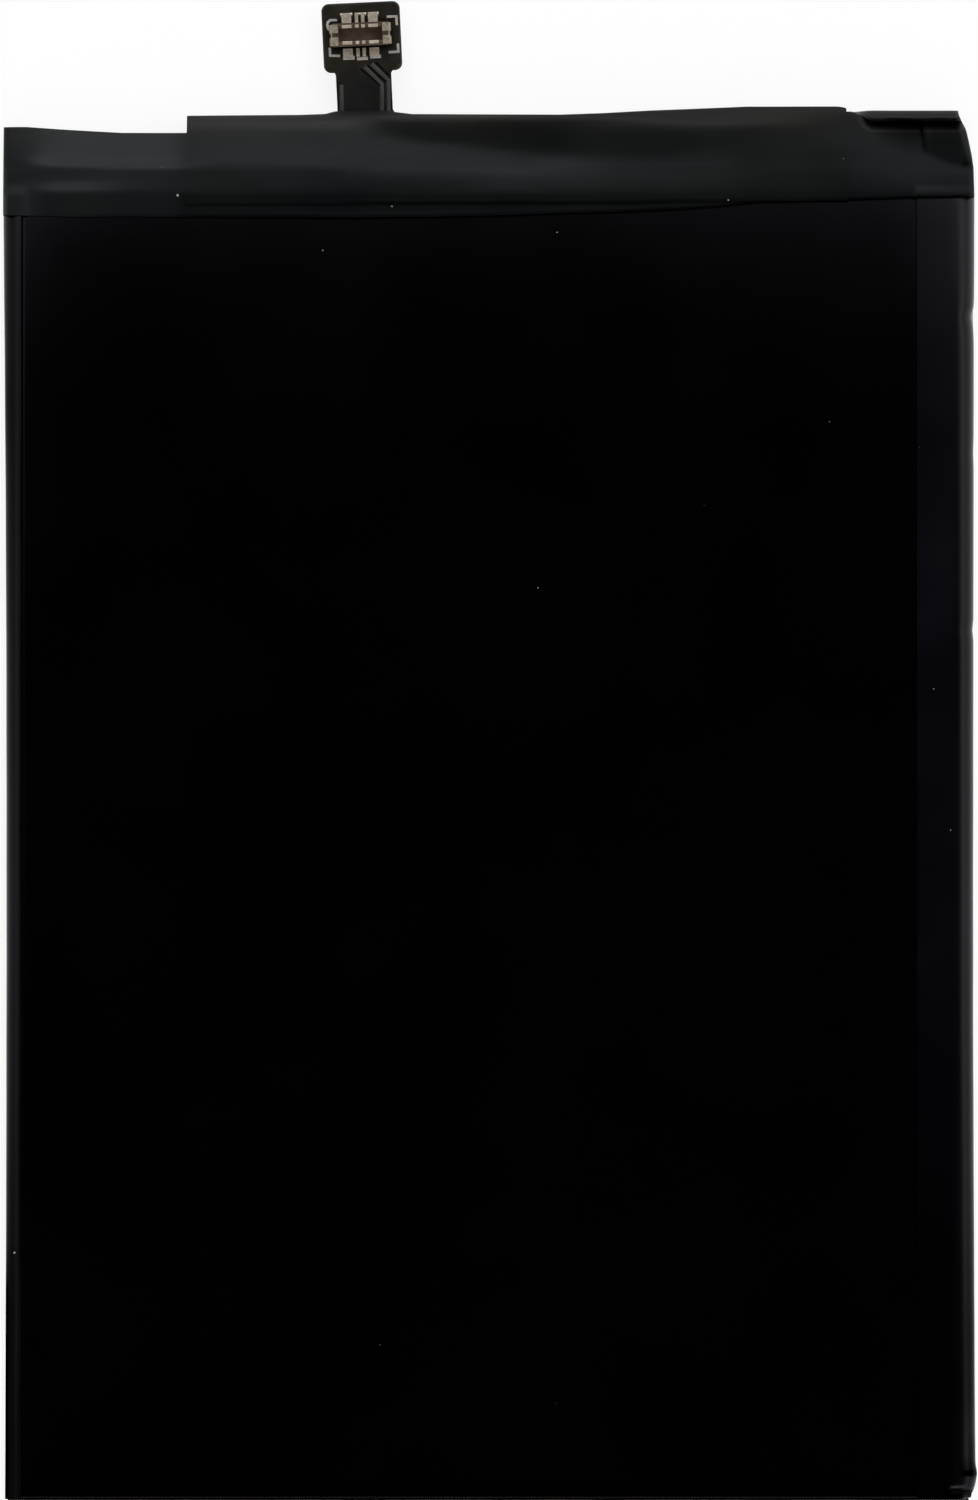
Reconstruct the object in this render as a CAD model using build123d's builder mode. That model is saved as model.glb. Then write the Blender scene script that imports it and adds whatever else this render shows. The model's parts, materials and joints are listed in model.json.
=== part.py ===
from build123d import *
from math import cos, hypot, radians, sin
import os

os.makedirs("parts", exist_ok=True)

# A flat pouch battery for a phone, in millimetres, lying on its plain face.
# X runs across the pack, Y towards its tail, Z up from the resting face.

# The sealed cell: a drawn cup, a sealed ledge at its top end and two folded side seams
pack_w = 62.0
cup_len = 84.18
cup_h = 4.10
rim_r = 0.90
cup_corner_r = 1.40
fold_end_r = 0.25
ledge_len = 2.70
ledge_inset = 1.30
ledge_corner = 0.80
seal_t = 0.30
seam_t = 0.22
seam_gap = 0.06
seam_h = 3.00
seam_fold_r = 0.30

# The wrap film, in one piece round the sides, the bottom end and the resting face
film_t = 0.12
film_left_return = 1.05
film_right_return = 3.60
film_end_flap_h = 3.20
film_rest_short = 4.80
film_side_cut_h = 0.50

# The leads and their sealing films
tab_w = 4.00
tab_t = 0.10
tab_run = 0.10
tab_seal_depth = 1.20
sealant_w = 5.60
sealant_t = 0.05
sealant_out = 0.08

# The circuit board and what is on it
board_w = 2.40
board_t = 0.50
board_wall_gap = 0.20
board_end_margin = 0.50
board_corner_r = 0.30
adhesive_t = 0.08
adhesive_inset = 0.15
plate_l = 4.40
plate_w = 1.70
plate_t = 0.12
plate_corner_r = 0.20
part_gap = 0.20
switch_l = 2.60
switch_w = 2.00
switch_h = 0.55
chip_l = 2.00
chip_w = 1.80
chip_h = 0.50
second_chip_l = 1.60
second_chip_w = 1.60
second_chip_h = 0.45
body_chamfer = 0.08
fuse_l = 2.00
fuse_w = 1.25
fuse_h = 0.50
sense_l = 2.00
sense_w = 1.25
sense_h = 0.45
small_l = 1.00
small_w = 0.50
small_h = 0.35
small_row_gap = 0.40
cap_l = 0.22
cap_t = 0.03

# The tail: a flexible printed circuit that leans a little to the left
tail_x = -7.94
tail_lean = 2.7
tail_exit_run = 1.85
flex_t = 0.12
neck_w = 3.56
tail_lap = 1.50
tail_len = 7.05
head_w = 4.80
head_h = 4.20
head_r = 0.36
foot_share = 0.30
throat_share = 0.59
shoulder_cut = 0.40
shoulder_drop = 0.25
flare = 0.36
flare_share = 0.95
flare_in = 0.05
stiffener_t = 0.20
stiffener_border = 0.12
stiffener_run = 0.50
slit_gap = 0.20

# The plug on the tail's head
plug_u = -0.085
plug_v = 5.11
plug_l = 3.78
plug_w = 1.50
plug_h = 0.62
plug_r = 0.18
well_l = 2.80
well_w = 0.86
well_floor = 0.12
well_chamfer = 0.05
contact_t = 0.08
contact_foot = 0.66
contact_cover = 0.09
contact_tip_z = 0.20
contact_bend_r = 0.03
power_w = 0.62
power_u = 0.85
signal_w = 0.22
signal_u = 0.20
nail_w = 1.36
nail_foot = 0.10
nail_reach = 0.46
nail_notch = 0.28

# The tapes over the board
tape_t = 0.05
tape_gap = 0.01
inner_low = 2.00
inner_face = 5.45
skew_from_x = 2.50
skew_rise = 1.20
inner_rear = 3.90
edge_in = 0.60
edge_drop = 0.35
film_step_w = 0.15
outer_left_x = -19.42
outer_right_x = 22.95
outer_low = 1.25
outer_end_room = 1.64
bulge_start_x = 4.50
bulge_top_x = 10.00
bulge = 0.50
outer_rear = 4.30
valley_run = 0.60
valley_z = 1.90
crest_run = 1.40
crest_z = 2.10
brow_in = 0.35
brow_z = 1.55
nose_z = 1.20
heel_z = 0.45
heel_in = 0.30
rim_angles = (15, 45, 75)

# Heights
z_cell = film_t
z_cup = z_cell + cup_h
z_film_top = z_cup + film_t
z_ledge = z_cell + seal_t
z_board = z_ledge + adhesive_t
z_parts = z_board + board_t
z_tab = z_cell + seal_t / 2

# Places across the pack
half_w = pack_w / 2
seam_x = half_w - film_t
cup_half_w = seam_x - seam_t - seam_gap

# Places along the pack, whose length counts to the fold of the outer tape
pack_len = film_t + cup_len + ledge_len + tail_exit_run
y_bottom = -pack_len / 2
y_cell = y_bottom + film_t
y_wall = y_cell + cup_len
y_rim = y_wall - rim_r
y_ledge = y_wall + ledge_len
y_exit = y_ledge + tail_exit_run
y_board = y_wall + board_wall_gap + board_w / 2
board_out = y_wall + board_wall_gap + board_w
z_rim = z_cup - rim_r


def outset(path, gap):
    """The same line moved to its left by a gap, with mitred corners."""
    last = len(path) - 1
    moved = []
    for here in range(last + 1):
        normals = []
        for start in (here - 1, here):
            if 0 <= start < last:
                run = path[start + 1][0] - path[start][0]
                rise = path[start + 1][1] - path[start][1]
                length = hypot(run, rise)
                normals.append((-rise / length, run / length))
        first, second = normals[0], normals[-1]
        share = gap / (1 + first[0] * second[0] + first[1] * second[1])
        across = path[here][0] + share * (first[0] + second[0])
        up = path[here][1] + share * (first[1] + second[1])
        moved.append((across, up))
    return moved


def strip(path, thickness):
    """The outline of a bent strip whose middle runs along a path."""
    return outset(path, thickness / 2) + outset(path, -thickness / 2)[::-1]


def fold_path(low, end, lift, drop, rear):
    """The line under a tape: over the cup's rim, down to the board, round the end and back."""
    reach = (rim_r + lift) / cos(radians(rim_angles[0]))
    over_rim = [(low, z_cup + lift - drop)]
    for angle in rim_angles:
        across = y_rim + reach * sin(radians(angle))
        up = z_rim + reach * cos(radians(angle)) - drop
        over_rim.append((across, up))
    over_board = [(y_wall + valley_run, valley_z), (y_wall + crest_run, crest_z)]
    round_end = [(end - brow_in, brow_z), (end, nose_z), (end, heel_z), (end - heel_in, z_cell)]
    return over_rim + over_board + round_end + [(rear, z_cell)]


def save(piece, name):
    """Labels a finished piece and writes it to its own file."""
    piece.part.label = name
    export_step(piece.part, f"parts/{name}.step")


# Layout along the board: the positive plate, the tail's lap, the parts, the negative plate
lap_shift = (tail_exit_run + ledge_len) * sin(radians(tail_lean))
root_w = neck_w + 2 * flare
lap_left = tail_x - root_w / 2 - part_gap
lap_right = tail_x + root_w / 2 + lap_shift + part_gap
positive_x = lap_left - plate_l / 2
parts_row = [
    ("switch_left", switch_l),
    ("switch_right", switch_l),
    ("resistor_1 resistor_2", small_l),
    ("protection_chip", chip_l),
    ("capacitor_1 capacitor_2", small_l),
    ("second_protection_chip", second_chip_l),
    ("resistor_3 resistor_4", small_l),
    ("sense_resistor", sense_l),
    ("capacitor_3 capacitor_4", small_l),
    ("chip_fuse", fuse_l),
    ("thermistor", small_l),
]
places = {}
cursor = lap_right
for names, length in parts_row:
    row = names.split()
    for index, name in enumerate(row):
        y_shift = (index - (len(row) - 1) / 2) * (small_w + small_row_gap)
        places[name] = (cursor + length / 2, y_board + y_shift)
    cursor += length + part_gap
negative_x = cursor + plate_l / 2
board_left = positive_x - plate_l / 2 - board_end_margin
board_right = negative_x + plate_l / 2 + board_end_margin
board_l = board_right - board_left
board_x = (board_left + board_right) / 2

# The cell: cup, ledge, folded side seams, and the pockets that its leads come out of.
# The cup is drawn with round corners at the ledge, and folded sharply at the bottom end.
with BuildPart() as cell_pouch:
    with BuildSketch(Plane.XY.offset(z_cell)) as cup:
        with Locations((0, y_cell + cup_len / 2)):
            Rectangle(2 * cup_half_w, cup_len)
        fillet(cup.vertices().group_by(Axis.Y)[-1], cup_corner_r)
    extrude(amount=cup_h)
    fillet(cell_pouch.faces().sort_by(Axis.Z)[-1].edges().sort_by(Axis.Y)[1:], rim_r)
    fillet(cell_pouch.edges().group_by(Axis.Y)[0].sort_by(Axis.Z)[1:], fold_end_r)
    with BuildSketch(Plane.XY.offset(z_cell)) as ledge:
        with Locations((0, y_wall + (ledge_len - cup_corner_r) / 2)):
            Rectangle(2 * (cup_half_w - ledge_inset), ledge_len + cup_corner_r)
        chamfer(ledge.vertices().group_by(Axis.Y)[-1], ledge_corner)
    extrude(amount=seal_t)
    for side in (-1, 1):
        with BuildSketch(Plane.XZ.offset(-(y_cell + cup_corner_r))):
            with BuildLine():
                Polyline(
                    (side * (cup_half_w - seam_t), z_cell),
                    (side * seam_x, z_cell),
                    (side * seam_x, z_cell + seam_h),
                    (side * (seam_x - seam_t), z_cell + seam_h),
                    (side * (seam_x - seam_t), z_cell + seam_t),
                    (side * (cup_half_w - seam_t), z_cell + seam_t),
                    close=True,
                )
            make_face()
        extrude(amount=-(cup_len - 2 * cup_corner_r))
        foot = cell_pouch.edges().filter_by(Axis.Y).sort_by_distance((side * seam_x, 0, z_cell))[0]
        fillet(foot, seam_fold_r)
    for x in (positive_x, negative_x):
        with Locations((x, y_ledge - tab_seal_depth / 2, z_tab)):
            Box(sealant_w, tab_seal_depth, tab_t + 2 * sealant_t, mode=Mode.SUBTRACT)
save(cell_pouch, "cell_pouch")

# The leads: out of the ledge, round in a hairpin and back onto the weld plates
y_turn = y_ledge + tab_run
z_tab_high = z_parts + plate_t + tab_t / 2
turn_mid = (z_tab + z_tab_high) / 2
turn_r = (z_tab_high - z_tab) / 2
y_weld = y_board - plate_w / 2
half_t = tab_t / 2
for name, x in (("positive_tab", positive_x), ("negative_tab", negative_x)):
    with BuildPart() as tab:
        with BuildSketch(Plane.YZ.offset(x - tab_w / 2)):
            with BuildLine():
                Line((y_ledge - tab_seal_depth, z_tab - half_t), (y_turn, z_tab - half_t))
                ThreePointArc(
                    (y_turn, z_tab - half_t),
                    (y_turn + turn_r + half_t, turn_mid),
                    (y_turn, z_tab_high + half_t),
                )
                Line((y_turn, z_tab_high + half_t), (y_weld, z_tab_high + half_t))
                Line((y_weld, z_tab_high + half_t), (y_weld, z_tab_high - half_t))
                Line((y_weld, z_tab_high - half_t), (y_turn, z_tab_high - half_t))
                ThreePointArc(
                    (y_turn, z_tab_high - half_t),
                    (y_turn + turn_r - half_t, turn_mid),
                    (y_turn, z_tab + half_t),
                )
                Line((y_turn, z_tab + half_t), (y_ledge - tab_seal_depth, z_tab + half_t))
                Line(
                    (y_ledge - tab_seal_depth, z_tab + half_t),
                    (y_ledge - tab_seal_depth, z_tab - half_t),
                )
            make_face()
        extrude(amount=tab_w)
    save(tab, name)

# The sealing films: flat sleeves round the leads
for name, x in (("positive_tab_sealant", positive_x), ("negative_tab_sealant", negative_x)):
    sleeve_len = tab_seal_depth + sealant_out
    with BuildPart() as sealant:
        with Locations((x, y_ledge - tab_seal_depth + sleeve_len / 2, z_tab)):
            Box(sealant_w, sleeve_len, tab_t + 2 * sealant_t)
            Box(tab_w, sleeve_len, tab_t, mode=Mode.SUBTRACT)
    save(sealant, name)

# The double-sided strip and the board on it
with BuildPart() as board_adhesive:
    with BuildSketch(Plane.XY.offset(z_ledge)):
        with Locations((board_x, y_board)):
            Rectangle(board_l - 2 * adhesive_inset, board_w - 2 * adhesive_inset)
    extrude(amount=adhesive_t)
save(board_adhesive, "board_adhesive")

with BuildPart() as protection_board:
    with BuildSketch(Plane.XY.offset(z_board)):
        with Locations((board_x, y_board)):
            RectangleRounded(board_l, board_w, board_corner_r)
    extrude(amount=board_t)
save(protection_board, "protection_board")

for name, x in (("positive_plate", positive_x), ("negative_plate", negative_x)):
    with BuildPart() as plate:
        with BuildSketch(Plane.XY.offset(z_parts)):
            with Locations((x, y_board)):
                RectangleRounded(plate_l, plate_w, plate_corner_r)
        extrude(amount=plate_t)
    save(plate, name)

# The moulded packages, with their top edges bevelled
packages = {
    "switch_left": (switch_l, switch_w, switch_h),
    "switch_right": (switch_l, switch_w, switch_h),
    "protection_chip": (chip_l, chip_w, chip_h),
    "second_protection_chip": (second_chip_l, second_chip_w, second_chip_h),
}
for name, (length, width, height) in packages.items():
    with BuildPart() as package:
        with BuildSketch(Plane.XY.offset(z_parts)):
            with Locations(places[name]):
                Rectangle(length, width)
        extrude(amount=height)
        chamfer(package.faces().sort_by(Axis.Z)[-1].edges(), body_chamfer)
    save(package, name)

# The small chips, each with a wrapped metal cap at both ends
small_size = (small_l, small_w, small_h)
small_names = [f"{kind}_{number}" for kind in ("resistor", "capacitor") for number in range(1, 5)]
chips = {name: small_size for name in small_names + ["thermistor"]}
chips["chip_fuse"] = (fuse_l, fuse_w, fuse_h)
chips["sense_resistor"] = (sense_l, sense_w, sense_h)
for name, (length, width, height) in chips.items():
    x, y = places[name]
    with BuildPart() as chip:
        with Locations((x, y, z_parts + height / 2)):
            Box(length - 2 * cap_t, width - 2 * cap_t, height - 2 * cap_t)
        cap_centre = (length - cap_l) / 2
        with Locations((x - cap_centre, y, z_parts + height / 2), (x + cap_centre, y, z_parts + height / 2)):
            Box(cap_l, width, height)
    save(chip, name)

# The tail: lap on the board, flare, neck, shoulders and head, drawn in its own leaning plane
lean = radians(tail_lean)
tail_plane = Plane(origin=(tail_x, y_exit, z_parts), x_dir=(cos(lean), sin(lean), 0), z_dir=(0, 0, 1))
v_root = board_out - tail_lap - y_exit
v_head = tail_len - head_h
overhang = (head_w - neck_w) / 2
head_foot_r = foot_share * overhang
throat_r = throat_share * overhang
flare_r = flare_share * flare
tail_corners = [
    ((-root_w / 2, v_root), 0),
    ((-root_w / 2, -flare_in), 0),
    ((-neck_w / 2, -flare_in), flare_r),
    ((-neck_w / 2, v_head), throat_r),
    ((-head_w / 2, v_head), head_foot_r),
    ((-head_w / 2, tail_len), head_r),
    ((head_w / 2, tail_len), head_r),
    ((head_w / 2, v_head + shoulder_cut), head_foot_r),
    ((neck_w / 2, v_head - shoulder_drop), head_foot_r),
    ((neck_w / 2, -flare_in), flare_r),
    ((root_w / 2, -flare_in), 0),
    ((root_w / 2, v_root), 0),
]
with BuildPart() as flex_tail:
    with BuildSketch(tail_plane):
        with BuildLine():
            corner_points = [point for point, corner_r in tail_corners]
            corner_radii = [corner_r for point, corner_r in tail_corners]
            FilletPolyline(*corner_points, radius=corner_radii, close=True)
        make_face()
    extrude(amount=flex_t)
save(flex_tail, "flex_tail")

# The plate behind the head, a little larger than the head
with BuildPart() as tail_stiffener:
    with BuildSketch(tail_plane.offset(-stiffener_t)) as stiffener_outline:
        with Locations((0, v_head - stiffener_run + (head_h + stiffener_run + stiffener_border) / 2)):
            Rectangle(neck_w, head_h + stiffener_run + stiffener_border)
        with Locations((0, tail_len - head_h / 2)):
            RectangleRounded(
                head_w + 2 * stiffener_border, head_h + 2 * stiffener_border, head_r + stiffener_border
            )
    extrude(amount=stiffener_t)
save(tail_stiffener, "tail_stiffener")

# The plug's own plane, on the head's face
plug_origin = tail_plane.from_local_coords(Vector(plug_u, plug_v, flex_t))
plug_plane = Plane(origin=plug_origin, x_dir=tail_plane.x_dir, z_dir=(0, 0, 1))


def side_plane(u):
    """A plane across the plug at a place along it, with its own X across and its Y up."""
    origin = plug_plane.from_local_coords(Vector(u, 0, 0))
    return Plane(origin=origin, x_dir=plug_plane.y_dir, z_dir=plug_plane.x_dir)


def end_plane(v):
    """A plane along the plug at a place across it, with its own X along and its Y up."""
    origin = plug_plane.from_local_coords(Vector(0, v, 0))
    return Plane(origin=origin, x_dir=plug_plane.x_dir, z_dir=-plug_plane.y_dir)


def bent_contact(side):
    """The outline of a contact: foot, outer leg within the wall, crown and inner leg, bent from one strip."""
    middle = contact_t / 2
    outer_leg = plug_w / 2 - contact_cover - middle
    inner_leg = well_w / 2 + middle
    crown = plug_h - middle
    path = [
        (side * (plug_w / 2 + contact_foot), middle),
        (side * outer_leg, middle),
        (side * outer_leg, crown),
        (side * inner_leg, crown),
        (side * inner_leg, contact_tip_z),
    ]
    return strip(path, contact_t)


def bent_nail(side):
    """The outline of an end nail: foot, leg and crown, bent from one strip."""
    middle = contact_t / 2
    leg = plug_l / 2 - middle
    crown = plug_h - middle
    path = [
        (side * (plug_l / 2 + nail_foot), middle),
        (side * leg, middle),
        (side * leg, crown),
        (side * (leg + middle - nail_reach), crown),
    ]
    return strip(path, contact_t)


contact_radii = [0, contact_bend_r, contact_bend_r, contact_bend_r, 0]
nail_radii = [0, contact_bend_r, contact_bend_r, 0]
contact_places = {
    "power_contact_1": (-power_u, -1, power_w),
    "power_contact_2": (power_u, -1, power_w),
    "power_contact_3": (-power_u, 1, power_w),
    "power_contact_4": (power_u, 1, power_w),
    "signal_contact_1": (-signal_u, -1, signal_w),
    "signal_contact_2": (signal_u, -1, signal_w),
    "signal_contact_3": (-signal_u, 1, signal_w),
    "signal_contact_4": (signal_u, 1, signal_w),
}
nail_places = {"end_nail_left": -1, "end_nail_right": 1}
nail_tongue = nail_reach - contact_t

# The plug's moulded body, with a groove for each contact and nail, and no sliver over a nail's bend
with BuildPart() as connector_housing:
    with BuildSketch(plug_plane):
        RectangleRounded(plug_l, plug_w, plug_r)
    extrude(amount=plug_h)
    with BuildSketch(plug_plane.offset(well_floor)):
        Rectangle(well_l, well_w)
    extrude(amount=plug_h - well_floor, mode=Mode.SUBTRACT)
    mouth = connector_housing.faces().sort_by(Axis.Z)[-1].inner_wires()[0].edges()
    chamfer(mouth, well_chamfer)
    for u, side, width in contact_places.values():
        with BuildSketch(side_plane(u - width / 2)):
            with BuildLine():
                FilletPolyline(*bent_contact(side), radius=contact_radii * 2, close=True)
            make_face()
        extrude(amount=width, mode=Mode.SUBTRACT)
    for side in nail_places.values():
        with BuildSketch(end_plane(nail_w / 2)):
            with BuildLine():
                FilletPolyline(*bent_nail(side), radius=nail_radii * 2, close=True)
            make_face()
        extrude(amount=nail_w, mode=Mode.SUBTRACT)
        with BuildSketch(plug_plane.offset(plug_h)):
            with Locations((side * (plug_l - contact_bend_r) / 2, 0)):
                Rectangle(contact_bend_r, nail_w)
        extrude(amount=-contact_bend_r, mode=Mode.SUBTRACT)
save(connector_housing, "connector_housing")

for name, (u, side, width) in contact_places.items():
    with BuildPart() as contact:
        with BuildSketch(side_plane(u - width / 2)):
            with BuildLine():
                FilletPolyline(*bent_contact(side), radius=contact_radii * 2, close=True)
            make_face()
        extrude(amount=width)
    save(contact, name)

for name, side in nail_places.items():
    with BuildPart() as nail:
        with BuildSketch(end_plane(nail_w / 2)):
            with BuildLine():
                FilletPolyline(*bent_nail(side), radius=nail_radii * 2, close=True)
            make_face()
        extrude(amount=nail_w)
        with BuildSketch(plug_plane):
            with Locations((side * (plug_l / 2 + nail_foot / 2), 0)):
                Rectangle(nail_foot, nail_notch)
            with Locations((side * (plug_l / 2 - contact_t - nail_tongue / 2), 0)):
                Rectangle(nail_tongue, nail_notch)
        extrude(amount=plug_h, mode=Mode.SUBTRACT)
    save(nail, name)

# The wrap film: the wrapped form less what it wraps, cut back to its returns and flaps
y_film_end = y_rim
with BuildPart() as wrap_film:
    film_len = y_film_end - y_bottom
    with BuildSketch(Plane.XZ.offset(-y_bottom)) as film_outside:
        with Locations((0, z_film_top / 2)):
            Rectangle(pack_w, z_film_top)
        fillet(film_outside.vertices().group_by(Axis.Y)[-1], rim_r + film_t)
        fillet(film_outside.vertices().group_by(Axis.Y)[0], seam_fold_r + film_t)
    extrude(amount=-film_len)
    with BuildSketch(Plane.XZ.offset(-y_cell)) as film_inside:
        with Locations((0, (z_cell + z_cup) / 2)):
            Rectangle(2 * seam_x, cup_h)
        fillet(film_inside.vertices().group_by(Axis.Y)[-1], rim_r)
        fillet(film_inside.vertices().group_by(Axis.Y)[0], seam_fold_r)
    extrude(amount=-film_len, mode=Mode.SUBTRACT)
    window_w = pack_w - film_left_return - film_right_return
    with BuildSketch(Plane.XY.offset(z_cup)):
        with Locations(((film_left_return - film_right_return) / 2, y_bottom + film_len / 2)):
            Rectangle(window_w, film_len)
    extrude(amount=2 * film_t, mode=Mode.SUBTRACT)
    with BuildSketch(Plane.XY.offset(film_end_flap_h)):
        with Locations((0, y_bottom + film_t / 2)):
            Rectangle(2 * cup_half_w, film_t)
    extrude(amount=z_film_top, mode=Mode.SUBTRACT)
    with BuildSketch():
        with Locations((0, y_wall - film_rest_short / 2)):
            Rectangle(pack_w, film_rest_short)
    extrude(amount=z_cell + film_side_cut_h, mode=Mode.SUBTRACT)
save(wrap_film, "wrap_film")


def tail_slit():
    """The cut in a tape's end that the tail comes out through."""
    cut_w = root_w + 2 * slit_gap
    cut_h = flex_t + 2 * slit_gap
    with Locations((tail_x, y_ledge + tail_exit_run, z_parts + flex_t / 2)):
        Box(cut_w, 2 * tail_exit_run, cut_h, mode=Mode.SUBTRACT)


def inner_edge(x):
    """How far along the pack the inner tape's front edge lies: level, then skewed."""
    return y_wall - inner_low + max(0, x - skew_from_x) / (half_w - skew_from_x) * skew_rise


# The inner tape, as wide as the pack, lying over the film's returns at both sides
left_step = -half_w + film_left_return
right_step = half_w - film_right_return
inner_stations = [
    (-half_w, film_t, edge_drop),
    (-half_w + edge_in, film_t, 0),
    (left_step, film_t, 0),
    (left_step + film_step_w, 0, 0),
    (skew_from_x, 0, 0),
    (right_step - film_step_w, 0, 0),
    (right_step, film_t, 0),
    (half_w - edge_in, film_t, 0),
    (half_w, film_t, edge_drop),
]
with BuildPart() as inner_tape:
    for x, lift, drop in inner_stations:
        front = inner_edge(x)
        under = fold_path(front, front + inner_face - tape_t, lift, drop, y_wall - inner_rear)
        with BuildSketch(Plane.YZ.offset(x)):
            with BuildLine():
                Polyline(*outset(under, tape_t), *under[::-1], close=True)
            make_face()
    loft(ruled=True)
    tail_slit()
save(inner_tape, "inner_tape")

# The outer tape, over the board alone, with its bulge at the right
layer_in = tape_t + tape_gap
outer_stations = [
    (outer_left_x, 0),
    (bulge_start_x, 0),
    (bulge_top_x, bulge),
    (outer_right_x, bulge),
]
with BuildPart() as outer_tape:
    for x, swell in outer_stations:
        end = y_ledge + outer_end_room + swell
        under = fold_path(y_wall - outer_low, end, 0, 0, y_wall - outer_rear)
        with BuildSketch(Plane.YZ.offset(x)):
            with BuildLine():
                Polyline(*outset(under, layer_in + tape_t), *outset(under, layer_in)[::-1], close=True)
            make_face()
    loft(ruled=True)
    tail_slit()
save(outer_tape, "outer_tape")
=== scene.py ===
import json
import math
import random

import bmesh
import bpy
import numpy as np
from mathutils import Matrix, Vector, noise


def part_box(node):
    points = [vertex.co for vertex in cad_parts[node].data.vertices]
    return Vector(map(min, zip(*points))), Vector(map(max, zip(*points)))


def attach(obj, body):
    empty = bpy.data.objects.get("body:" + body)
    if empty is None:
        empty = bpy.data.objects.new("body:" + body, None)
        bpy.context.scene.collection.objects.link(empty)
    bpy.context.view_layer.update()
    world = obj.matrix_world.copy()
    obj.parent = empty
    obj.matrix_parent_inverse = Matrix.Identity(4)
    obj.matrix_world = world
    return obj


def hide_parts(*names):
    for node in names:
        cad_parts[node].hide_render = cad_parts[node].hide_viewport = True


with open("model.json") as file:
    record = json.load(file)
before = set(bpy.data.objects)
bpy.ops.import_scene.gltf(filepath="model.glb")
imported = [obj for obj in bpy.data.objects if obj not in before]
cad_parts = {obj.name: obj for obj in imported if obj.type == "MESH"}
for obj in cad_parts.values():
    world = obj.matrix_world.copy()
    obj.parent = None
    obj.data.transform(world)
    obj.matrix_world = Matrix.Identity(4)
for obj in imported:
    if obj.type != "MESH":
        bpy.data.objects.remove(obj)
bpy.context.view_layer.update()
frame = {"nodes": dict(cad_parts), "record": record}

# A flat pouch battery for a phone, seen from straight above. Sizes in this script are millimetres
# until a mesh is made, and "along" is the distance from the pack's bottom edge.
MM = 0.001


def box_mm(node):
    """The lowest and highest corners of a CAD node, in millimetres."""
    low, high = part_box(node)
    return low / MM, high / MM


film_low, film_high = box_mm("wrap_film")
cell_high = box_mm("cell_pouch")[1]
outer_low, outer_high = box_mm("outer_tape")
flex_low, flex_high = box_mm("flex_tail")
plug_low, plug_high = box_mm("connector_housing")

# Measures that the frame gives, but for the rim's radius
foot_y = film_low.y
half_w = film_high.x
cup_top = cell_high.z
film_top = film_high.z
film_t = film_top - cup_top
rim_r = 0.90
wall_along = film_high.y + rim_r - foot_y
ledge_along = cell_high.y - foot_y

# The photograph's own frame, for things placed by what it shows
PHOTO_H = 1500
PACK_PX = 967
MID_PX = 489
FOOT_PX = 1498.5
px = 2 * half_w / PACK_PX


def photo_x(column):
    """Where a column of the photograph lies across the pack."""
    return (column - MID_PX) * px


def photo_along(row):
    """Where a row of the photograph lies along the pack."""
    return (FOOT_PX - row) * px


def on_photo(x, along):
    """The column and row of the photograph that show a place on the pack."""
    return x / px + MID_PX, FOOT_PX - along / px


def smooth(value, start, end):
    """Rises smoothly from 0 at start to 1 at end."""
    t = np.clip((value - start) / (end - start), 0.0, 1.0)
    return t * t * (3 - 2 * t)


def hump(value, centre, spread):
    """A bell of height 1."""
    return np.exp(-(((value - centre) / spread) ** 2))


def drift(x, y, size, seed):
    """Smooth noise of about -1 to 1 with features of a given size."""
    return noise.noise(Vector((x / size + 17.3 * seed, y / size - 5.1 * seed, 3.7 * seed)))


# Materials
MICRON = 0.000001
NOISE_SPAN = (0.3, 0.7)
COLOUR_SPAN = (0.32, 0.68)
SWELL_REACH = 0.090
SWELL_ACROSS = 0.0315
SWELL_END = 0.0060
SWELL_SIDE = 0.0018
SWELL_SIDE_LOW = 0.35
# Painted shade on the pouch's bottom end: the span along it, and the share of colour and gloss left there
SHADED_END = (0.3, 1.5)
SHADED_GLOSS = 0.02


def new_node(tree, kind):
    """Adds a shader node of a kind."""
    return tree.nodes.new("ShaderNode" + kind)


def math_node(tree, operation, *values, clamp=False):
    """One sum or product of values, each a number or a socket."""
    node = new_node(tree, "Math")
    node.operation = operation
    node.use_clamp = clamp
    for index, value in enumerate(values):
        if isinstance(value, (int, float)):
            node.inputs[index].default_value = value
        else:
            tree.links.new(value, node.inputs[index])
    return node.outputs[0]


def map_node(tree, value, span, result, way="LINEAR"):
    """Maps a span of a value onto a range of results."""
    node = new_node(tree, "MapRange")
    node.interpolation_type = way
    for name, number in zip(("From Min", "From Max", "To Min", "To Max"), (*span, *result)):
        node.inputs[name].default_value = number
    tree.links.new(value, node.inputs["Value"])
    return node.outputs[0]


def scale_node(tree, colour, share):
    """A colour times a share."""
    node = new_node(tree, "VectorMath")
    node.operation = "SCALE"
    tree.links.new(colour, node.inputs[0])
    tree.links.new(share, node.inputs["Scale"])
    return node.outputs[0]


def mix_node(tree, share, first, second):
    """A colour between two, which are given or come from sockets."""
    node = new_node(tree, "Mix")
    node.data_type = "RGBA"
    tree.links.new(share, node.inputs["Factor"])
    for name, colour in (("A", first), ("B", second)):
        if isinstance(colour, tuple):
            node.inputs[name].default_value = (*colour, 1)
        else:
            tree.links.new(colour, node.inputs[name])
    return node.outputs["Result"]


def place_node(tree):
    """A point's place in the pack's frame, in metres, as three sockets."""
    place = new_node(tree, "TexCoord")
    split = new_node(tree, "SeparateXYZ")
    tree.links.new(place.outputs["Object"], split.inputs[0])
    return split.outputs


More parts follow.
